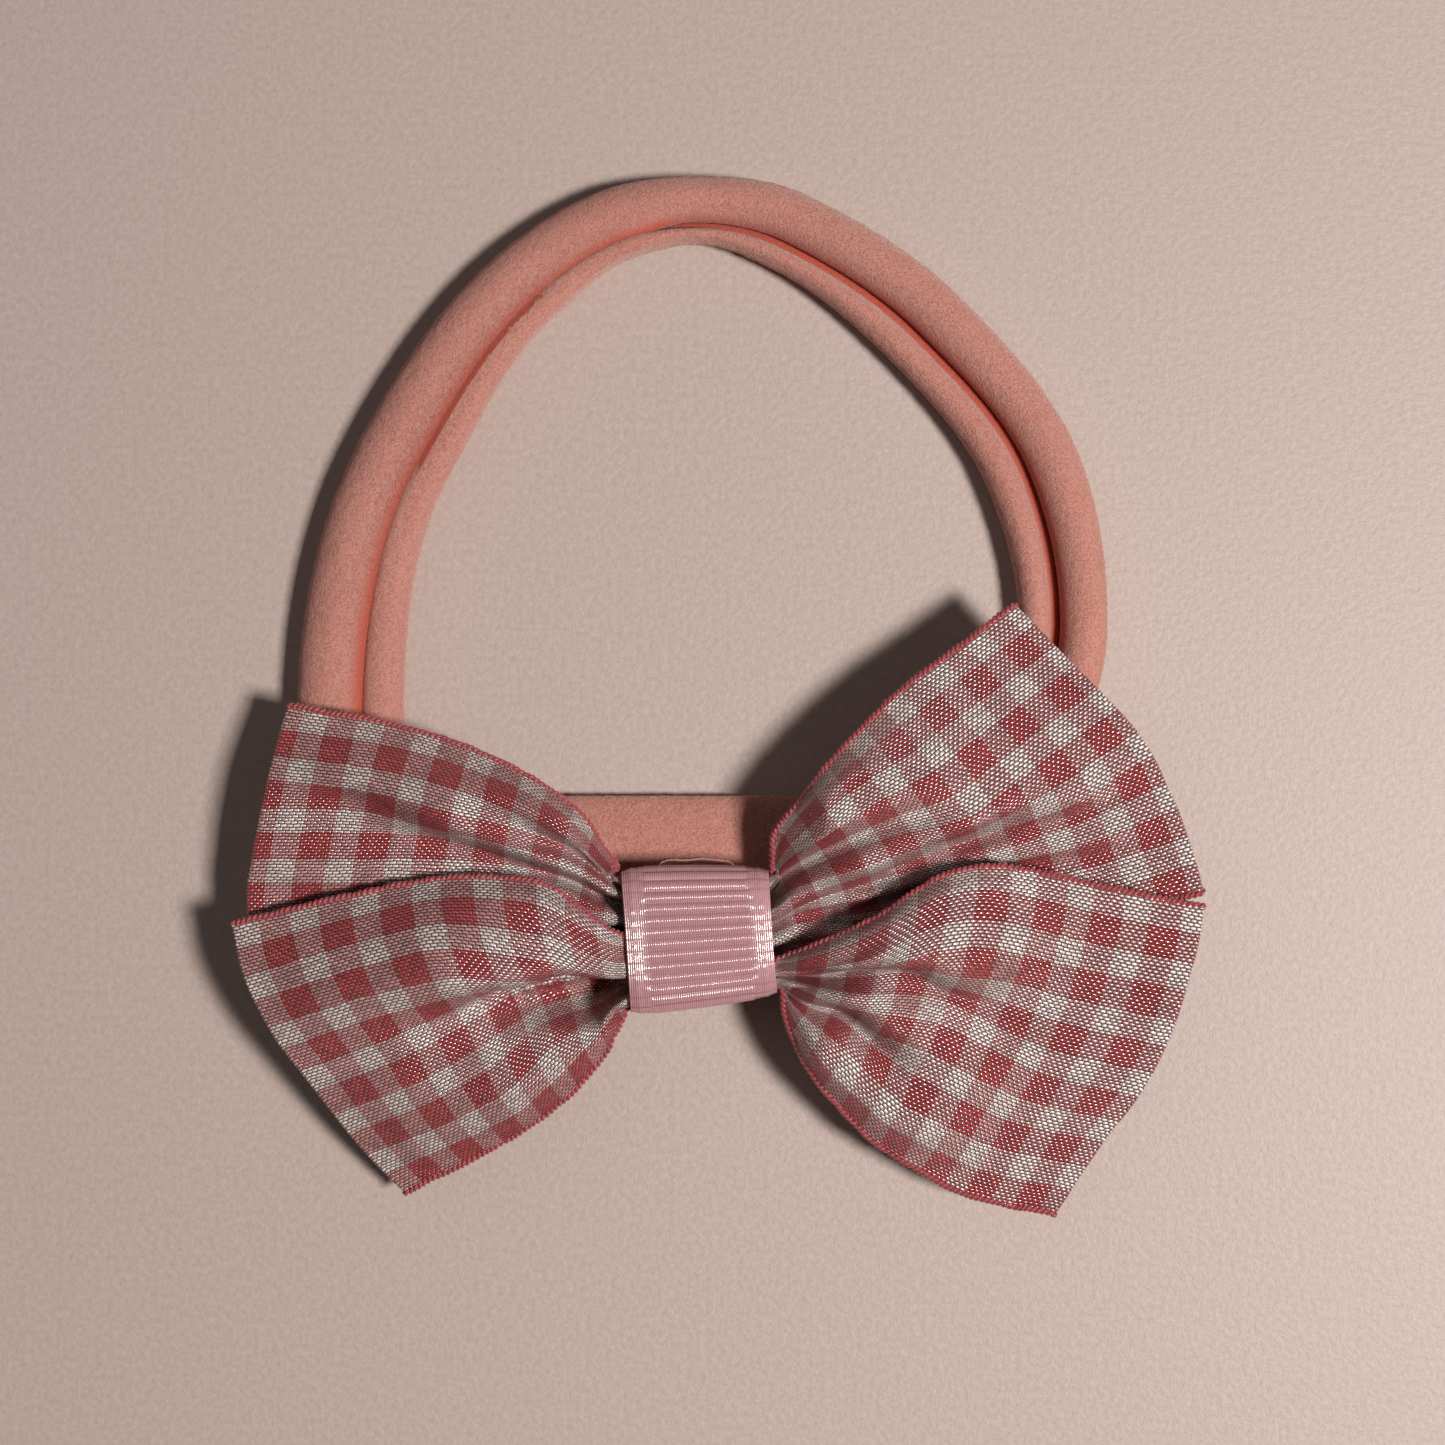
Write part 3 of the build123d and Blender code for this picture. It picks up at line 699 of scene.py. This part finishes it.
class HeightMap:
    """The top of what has been laid so far, in square cells over the plan."""

    cell = 0.5
    low = (-60.0, -65.0)
    cells = (240, 200)
    bare = 0.6                # lowest that cloth goes over the bare table

    def __init__(self):
        self.top = np.full(self.cells, self.bare)

    def index(self, x, y):
        i = np.clip(((x - self.low[0]) / self.cell).astype(int), 0, self.top.shape[0] - 1)
        j = np.clip(((y - self.low[1]) / self.cell).astype(int), 0, self.top.shape[1] - 1)
        return i, j

    def lay(self, grid):
        """Raises the top to these points."""
        i, j = self.index(grid[..., 0].ravel(), grid[..., 1].ravel())
        np.maximum.at(self.top, (i, j), grid[..., 2].ravel() + RIBBON_THICK)

    def spread(self, turns):
        """Widens what has been laid by this many cells."""
        for _ in range(turns):
            t = np.pad(self.top, 1, "edge")
            beside = t[:-2, 1:-1], t[2:, 1:-1], t[1:-1, :-2], t[1:-1, 2:]
            self.top = np.max([t[1:-1, 1:-1], *beside], 0)

    def __call__(self, x, y):
        i, j = self.index(np.asarray(x), np.asarray(y))
        return self.top[i, j]


def fold_rows(front_edge, back_edge):
    """The soft outer fold that joins the two layers."""
    middle = (front_edge + back_edge) / 2
    half = (front_edge - back_edge) / 2
    tangent = np.gradient(middle, axis=0)
    out = np.stack([tangent[:, 1], -tangent[:, 0], np.zeros(len(tangent))], 1)
    out /= np.linalg.norm(out, axis=1, keepdims=True)
    if np.dot(out[len(out) // 2], middle[len(out) // 2] - KNOT_PLAN) < 0:
        out = -out
    reach = np.linalg.norm(half, axis=1, keepdims=True)
    angles = np.linspace(0, math.pi, BEND + 2)[1:-1]
    rows = [middle + half * math.cos(a) + out * reach * math.sin(a) * 0.8 for a in angles]
    return np.stack(rows, 1)


def twisted_edge(name, line):
    """Two strands twisted along a line: the ribbon's edge threads."""
    count = int(np.linalg.norm(np.diff(line, axis=0), axis=1).sum() / EDGE_STEP)
    line = resample(line, count)
    tangent = np.gradient(line, axis=0)
    tangent /= np.linalg.norm(tangent, axis=1, keepdims=True)
    side = np.cross(tangent, (0, 0, 1.0))
    side /= np.maximum(np.linalg.norm(side, axis=1, keepdims=True), 1e-6)
    up = np.cross(side, tangent)
    at = np.arange(count) * EDGE_STEP
    rng = np.random.default_rng(count)
    wander = [np.interp(at, at[::5], rng.uniform(-1, 1, len(at[::5]))) for _ in range(3)]
    line = line + EDGE_WANDER * np.stack(wander, 1)
    ring = np.linspace(0, 2 * math.pi, EDGE_SIDES, endpoint=False)
    strands = []
    for strand in range(2):
        turn = 2 * math.pi * at / EDGE_TWIST + strand * math.pi
        from_heart = np.cos(turn)[:, None] * side + np.sin(turn)[:, None] * up
        heart = line + EDGE_STRAND * 0.75 * from_heart
        tube = (heart[:, None] + EDGE_STRAND * (np.cos(ring)[None, :, None] * side[:, None]
                + np.sin(ring)[None, :, None] * up[:, None]))
        strands.append(grid_mesh(f"{name}_{strand}", tube, closed=True))
    return join(name, strands)


def join(name, pieces):
    """One object from several."""
    vertices, faces = [], []
    for piece in pieces:
        base = len(vertices)
        vertices += [tuple(v.co) for v in piece.data.vertices]
        faces += [tuple(base + i for i in p.vertices) for p in piece.data.polygons]
        bpy.data.objects.remove(piece)
    mesh = bpy.data.meshes.new(name)
    mesh.from_pydata(vertices, [], faces)
    mesh.shade_smooth()
    whole = bpy.data.objects.new(name, mesh)
    bpy.context.collection.objects.link(whole)
    return whole


def make_loops():
    """The four loops with their selvedge threads, the back ribbon's first."""
    cloth, thread = gingham(), edge_thread()
    floor = HeightMap()
    lay_band(floor)
    for layer in ("back", "front"):
        laid = []
        for side in ("left", "right"):
            name = f"{layer}_{side}"
            grid, flat = loop_sheet(LOOPS[name], floor)
            laid.append(grid)
            finish_loop(name, grid, flat, cloth, thread)
        for grid in laid:
            floor.lay(grid)
            floor.lay(grid[[0, -1]] + (0, 0, SELVEDGE_HEIGHT))
        floor.spread(2)


def lay_band(floor):
    """Keeps the cloth above the band, as squares round each point of its line."""
    line = band_path()[:, None, :2]
    reach = np.linspace(-7.0, 7.0, 29)
    square = np.stack(np.meshgrid(reach, reach), -1).reshape(1, -1, 2)
    spots = (line + square).reshape(-1, 2)
    floor.lay(np.column_stack([spots, np.full(len(spots), OVER_BAND - RIBBON_THICK)]))


def finish_loop(name, grid, flat, cloth, thread):
    piece = grid_mesh(f"{name}_loop", grid, flat)
    thicken(piece, RIBBON_THICK)
    piece.data.materials.append(cloth)
    edges = [twisted_edge(f"{name}_{side}_selvedge", grid[row])
             for side, row in (("upper", 0), ("lower", -1))]
    for edge in edges:
        edge.data.materials.append(thread)
        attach(edge, "bow")
    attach(piece, "bow")
    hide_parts(f"{name.split('_')[0]}_ribbon")


# ---- knot
def knot_outline():
    """Points, outward normals and lengths of the wrap's one turn, whose end laps its start."""
    angle = np.radians(np.linspace(245, 655, 821))
    outline = [half * np.sign(part) * np.abs(part) ** (2 / KNOT_POWER)
               for half, part in ((KNOT_DEPTH / 2, np.cos(angle)), (KNOT_HEIGHT / 2, np.sin(angle)))]
    line = resample(np.stack(outline, 1), KNOT_STEPS)
    length = np.linalg.norm(np.diff(line, axis=0), axis=1).sum()
    s = np.linspace(0, length, KNOT_STEPS)
    tangent = np.gradient(line, axis=0)
    normal = np.stack([tangent[:, 1], -tangent[:, 0]], 1)
    normal /= np.linalg.norm(normal, axis=1, keepdims=True)
    lap_start = length - LAP_LENGTH
    lapped = smoothstep(s, lap_start - 1.6, lap_start - 0.2)
    line = line + normal * (lapped * (GROSGRAIN_THICK + LAP_GLUE))[:, None]
    return line, normal, s


def knot_relief(across, s):
    """How far the grosgrain stands out: ribs, plain edges with thread rows, and a soft swell."""
    side = np.abs(across)
    rib = 0.5 + 0.5 * np.cos(2 * math.pi * s / RIB_PITCH)
    inner = smoothstep(HALF_WRAP - PLAIN_EDGE - side, 0, 0.2)
    relief = 0.24 * (rib[:, None] ** 0.55) * inner[None, :] - 0.10 * inner[None, :]
    thread_rows = np.exp(-(((side - 5.95) / 0.16) ** 2)) + 0.6 * np.exp(-(((side - 6.9) / 0.14) ** 2))
    relief += 0.10 * rib[:, None] * thread_rows[None, :]
    edge_dip = -0.25 * smoothstep(side, 6.8, 8.0)[None, :]
    swell = 0.18 * np.cos(across / HALF_WRAP * math.pi / 2)[None, :]
    return relief + edge_dip + swell


def make_knot():
    """The grosgrain wrap round the pinch, turned a little in plan."""
    line, normal, s = knot_outline()
    across = np.linspace(-HALF_WRAP, HALF_WRAP, KNOT_POINTS)
    offset = knot_relief(across, s)
    taper = 1 - KNOT_TAPER * across[None, :] / HALF_WRAP
    flare = 1 + 0.012 * (line[:, :1] / HALF_WRAP) ** 2
    x = across[None, :] * flare
    y = (line[:, :1] + normal[:, :1] * offset) * taper
    z = line[:, 1:] + normal[:, 1:] * offset + KNOT_MIDDLE
    cos, sin = math.cos(KNOT_TURN), math.sin(KNOT_TURN)
    grid = np.stack([KNOT_PLAN[0] + x * cos - y * sin, KNOT_PLAN[1] + x * sin + y * cos, z], -1)
    flat = np.stack(np.broadcast_arrays(across[None, :] + HALF_WRAP, s[:, None]), -1)
    piece = grid_mesh("knot_ribbon", grid, flat)
    thicken(piece, GROSGRAIN_THICK, -1.0)
    piece.data.materials.append(grosgrain())
    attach(piece, "bow")
    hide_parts("knot_wrap")


# ---- band
# Stations round the loop, anticlockwise from the left end of the flat strand: place,
# heading in degrees, width, height, share of the width in the inner roll, groove depth.
BAND = (
    (-17.0, -17.8, 0, 13.0, 3.6, 0.85, 0.0),
    (9.0, -17.8, 0, 13.0, 3.6, 0.85, 0.0),
    (28.0, -11.5, 38, 10.5, 5.0, 0.38, 0.6),
    (38.8, 8.0, 90, 9.9, 5.8, 0.36, 1.5),
    (35.3, 25.4, 113, 10.8, 6.0, 0.36, 1.5),
    (23.2, 41.2, 135, 10.4, 6.0, 0.33, 1.4),
    (8.0, 52.0, 154, 9.0, 6.0, 0.27, 1.2),
    (-2.5, 54.4, 180, 7.4, 6.0, 0.22, 1.0),
    (-11.8, 52.6, 202, 8.2, 6.0, 0.24, 0.2),
    (-21.6, 45.8, 221, 9.4, 6.0, 0.30, 0.0),
    (-34.8, 27.2, 241, 10.8, 6.0, 0.34, 0.0),
    (-41.2, -3.0, 270, 12.0, 5.8, 0.38, 0.5),
    (-32.0, -14.8, 330, 11.6, 5.0, 0.40, 0.1),
    (-17.0, -17.8, 360, 13.0, 3.6, 0.85, 0.0),
)


def heading(station):
    """The way the band runs at a station, as a unit vector."""
    angle = math.radians(station[2])
    return np.array((math.cos(angle), math.sin(angle)))


def band_path():
    """Points of the loop with their section sizes, 40 to a stretch, as a closed run."""
    rows = []
    t = np.linspace(0, 1, 40, endpoint=False)[:, None]
    ease = smoothstep(t)
    for a, b in zip(BAND, BAND[1:]):
        turn = math.radians(b[2] - a[2])
        pull = math.dist(a[:2], b[:2]) * (1 + turn**2 / 24)
        place = ((2 * t**3 - 3 * t**2 + 1) * np.array(a[:2]) + (t**3 - 2 * t**2 + t) * pull * heading(a)
                 + (-2 * t**3 + 3 * t**2) * np.array(b[:2]) + (t**3 - t**2) * pull * heading(b))
        sizes = (1 - ease) * np.array(a[3:]) + ease * np.array(b[3:])
        rows.append(np.hstack([place, sizes]))
    return np.vstack([*rows, BAND[-1][:2] + BAND[-1][3:]])


def band_section(width, height, share, groove):
    """Open section of the curled strip: inside edge, inner roll, underside, outer roll, edge.

    x grows outwards from the inside of the loop, and z upwards. The less groove there is,
    the further the two edges lap and close over it.
    """
    seam = -width / 2 + share * width
    closed = np.clip(1 - groove / 1.2, 0, 1)
    wall = 0.03 - 0.02 * groove
    gap = 0.75 * groove
    inner_r = share * width / 2
    inner_h = height * (0.48 - 0.06 * min(groove / 0.6, 1))
    angle_in = np.linspace(math.pi * wall, math.pi * 1.5, 200)
    inner = np.stack([seam - inner_r + inner_r * np.cos(angle_in),
                      inner_h + inner_h * np.sin(angle_in)], 1)
    groove_floor = [(seam + gap, inner[0, 1] - 0.1)]
    outer_r = (width - share * width - gap) / 2 + 0.05
    angle_out = np.linspace(-math.pi / 2, math.pi * (1 - wall), 300)
    outer_c = width / 2 - outer_r
    outer = np.stack([outer_c + outer_r * np.cos(angle_out),
                      height / 2 + height / 2 * np.sin(angle_out)], 1)
    line = resample(np.vstack([groove_floor, inner, outer]), BAND_POINTS)
    top = np.max(line[:, 1])
    near = np.exp(-(((line[:, 0] - seam) / (0.24 * width)) ** 4))
    near *= smoothstep(line[:, 1] / height, 0.3, 0.5)
    line[:, 1] += closed * near * (0.97 * top - line[:, 1]).clip(0)
    past = np.arange(BAND_POINTS) / BAND_POINTS
    line[:, 0] -= 0.8 * closed * smoothstep(past, 0.93, 1.0)
    line[:, 1] -= 0.3 * closed * smoothstep(0.035 - past, 0, 0.035)
    return line


def band_grid():
    """The curled strip as rings of points with their flat places, and the line they follow."""
    raw = band_path()
    length = np.linalg.norm(np.diff(raw[:, :2], axis=0), axis=1).sum()
    line = resample(raw, int(length / BAND_STEP), measured=2)
    place, sizes = line[:, :2], line[:, 2:]
    tangent = np.gradient(place, axis=0)
    tangent /= np.linalg.norm(tangent, axis=1, keepdims=True)
    out = np.stack([tangent[:, 1], -tangent[:, 0]], 1)
    sections = np.array([band_section(*row) for row in sizes])
    grid = np.empty(sections.shape[:2] + (3,))
    grid[..., :2] = place[:, None] + out[:, None] * sections[..., :1]
    grid[..., 2] = sections[..., 1] + BAND_LIFT
    lip = smoothstep(np.abs(np.linspace(-1, 1, BAND_POINTS)), 0.78, 0.86)
    grain = RNG.normal(0, 0.035, grid.shape[:2]) * (1 - lip)
    grid[..., 2] += grain * (grid[..., 2] > 0.4)
    sideways = RNG.normal(0, 0.03, grid.shape[:2]) * (1 - lip)
    grid[..., :2] += sideways[..., None] * out[:, None]
    along = np.r_[0, np.cumsum(np.linalg.norm(np.diff(place, axis=0), axis=1))]
    across = np.linspace(0, BAND_FLAT, BAND_POINTS)
    flat = np.stack(np.broadcast_arrays(across[None, :], along[:, None]), -1)
    return grid, flat, place


def make_band():
    """The nylon band, as three sheets that meet under the bow's wings.

    Its right corner is a sheet of its own; the left corner lies in the sheet behind the bow.
    """
    grid, flat, place = band_grid()
    last_part = np.arange(len(place)) > 0.6 * len(place)
    left_seam = np.argmax(last_part & (place[:, 1] < SIDE_SEAM_Y))
    right_seam = np.argmax(place[:, 1] > SIDE_SEAM_Y)
    corner_seam = np.argmax(place[:, 0] > CORNER_SEAM_X)
    flat_again = flat + (0, flat[-1, 0, 1])
    behind = (np.concatenate([grid[left_seam:], grid[1:corner_seam + 1]]),
              np.concatenate([flat[left_seam:], flat_again[1:corner_seam + 1]]))
    corner = grid[corner_seam:right_seam + 1], flat[corner_seam:right_seam + 1]
    head = grid[right_seam:left_seam + 1], flat[right_seam:left_seam + 1]
    nylon = velvet()
    for name, (rows, rows_flat) in (
        ("band_behind_bow", behind), ("band_right_corner", corner), ("band_round_head", head)
    ):
        piece = grid_mesh(name, rows, rows_flat)
        thicken(piece, BAND_THICK, -1.0)
        piece.data.materials.append(nylon)
        if name == "band_behind_bow":
            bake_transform(piece)
            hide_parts("band_strand")
        elif name == "band_right_corner":
            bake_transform(piece)
        else:
            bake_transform(piece)
            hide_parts("band_left_side", "band_right_side", "band_crown")


def at(x, y, z=2.0):
    """A plan place as a plain tuple in the frame."""
    return tuple(float(v) for v in to_world((x, y, z)))


# ---- carried-over CAD pieces
def dress_cad():
    """Materials of the CAD pieces that stay, and the bead of glue that shows."""
    glue = hot_glue()
    dress(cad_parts["wrap_glue"], glue)
    dress(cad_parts["gathering_thread"], sewing_thread())
    make_glue_bead(glue)


def make_glue_bead(glue):
    """The squashed bead of glue between the strand and the knot, with a lumpy rim."""
    low, high = (np.array(corner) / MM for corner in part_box("band_glue"))
    low[2] -= GLUE_SINK
    middle, half = (low + high) / 2, (high - low) / 2
    turn = np.linspace(0, 2 * math.pi, 72, endpoint=False)
    lift = np.linspace(-math.pi / 2, math.pi / 2, 25)[:, None]
    lump = 1 + 0.06 * np.sin(3 * turn + 0.7) + 0.05 * np.sin(5 * turn + 2.1) + 0.03 * np.sin(9 * turn)
    x = middle[0] + half[0] * 0.86 * np.cos(lift) ** 0.5 * np.cos(turn) * lump
    y = middle[1] + half[1] * 0.92 * np.cos(lift) ** 0.5 * np.sin(turn) * lump
    z = middle[2] + half[2] * np.sin(lift)
    grid = np.stack(np.broadcast_arrays(x, y, z), -1) + KNOT_PLAN - KNOT_CENTRE / MM
    piece = grid_mesh("glue_bead", grid, closed=True)
    piece.data.materials.append(glue)
    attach(piece, "bow")
    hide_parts("band_glue")


def dress(piece, material):
    """Puts one material on a carried-over CAD piece."""
    for slot in piece.material_slots:
        slot.material = material


# ---- surroundings
# In metres, but the sensor and the two plan places are in millimetres.
TABLE_HALF = 1.5
TABLE_DROP = 0.0002             # below everything that lies on it
LIT_PLACE = (0.5, -3.1, 0.0)    # the plan place that the lights face
SEEN_PLACE = (0.55, -3.1, 0.0)  # the plan place in the middle of the view
CAMERA_HEIGHT = 0.308
SENSOR_WIDTH = 36.0
VIEW_LEVEL = 0.008              # a height above the table
VIEW_WIDTH = 0.1595             # how much is seen across at that height


def paper():
    """A plain pale table top with a faint pearl grain."""
    n = Nodes("table")
    place = n.place()
    grain = n.noise(place, 1400.0, 3.0, 0.7)
    n.link(n.mix(grain, (0.40, 0.305, 0.265, 1), (0.62, 0.500, 0.445, 1)), n.shader.inputs["Base Color"])
    n.set(Roughness=0.5, Specular_IOR_Level=0.4)
    n.bump(grain, 0.3, 0.0003)
    return n.material


def make_stage():
    """The table, two soft lights and a dim room."""
    corners = [(x * TABLE_HALF, y * TABLE_HALF, 0) for x, y in ((-1, -1), (1, -1), (1, 1), (-1, 1))]
    mesh = bpy.data.meshes.new("table")
    mesh.from_pydata(corners, [], [(0, 1, 2, 3)])
    table = bpy.data.objects.new("table", mesh)
    table.location = (0, 0, -TABLE_DROP)
    mesh.materials.append(paper())
    bpy.context.collection.objects.link(table)
    add_light("key", (0.357, -0.091, 0.616), 0.126, 5.7, (1.0, 0.965, 0.94))
    add_light("fill", (-0.4, 0.25, 0.6), 0.7, 0.46, (1.0, 0.93, 0.92))
    world = bpy.data.worlds.new("studio")
    world.use_nodes = True
    background = world.node_tree.nodes["Background"]
    background.inputs["Color"].default_value = (0.95, 0.9, 0.9, 1)
    background.inputs["Strength"].default_value = 0.034
    bpy.context.scene.world = world
    bpy.context.scene.view_settings.view_transform = "Standard"


def add_light(name, offset, size, power, colour):
    """A square light at this offset from the lit place, facing it."""
    lamp = bpy.data.lights.new(name, "AREA")
    lamp.size = size
    lamp.energy = power
    lamp.color = colour
    target = to_world(LIT_PLACE)
    place = target + np.array(offset)
    light = bpy.data.objects.new(name, lamp)
    light.location = place
    light.rotation_euler = Vector(target - place).to_track_quat("-Z", "Y").to_euler()
    bpy.context.collection.objects.link(light)


def make_camera():
    """Straight down on the middle of the view, about 30 cm up."""
    lens = bpy.data.cameras.new("camera")
    lens.sensor_width = SENSOR_WIDTH
    lens.lens = SENSOR_WIDTH * (CAMERA_HEIGHT - VIEW_LEVEL) / VIEW_WIDTH
    lens.clip_start = 0.01
    camera = bpy.data.objects.new("camera", lens)
    camera.location = (*to_world(SEEN_PLACE)[:2], CAMERA_HEIGHT)
    bpy.context.collection.objects.link(camera)
    bpy.context.scene.camera = camera


make_camera()
make_stage()
make_loops()
make_knot()
make_band()
dress_cad()
bpy.context.view_layer.update()
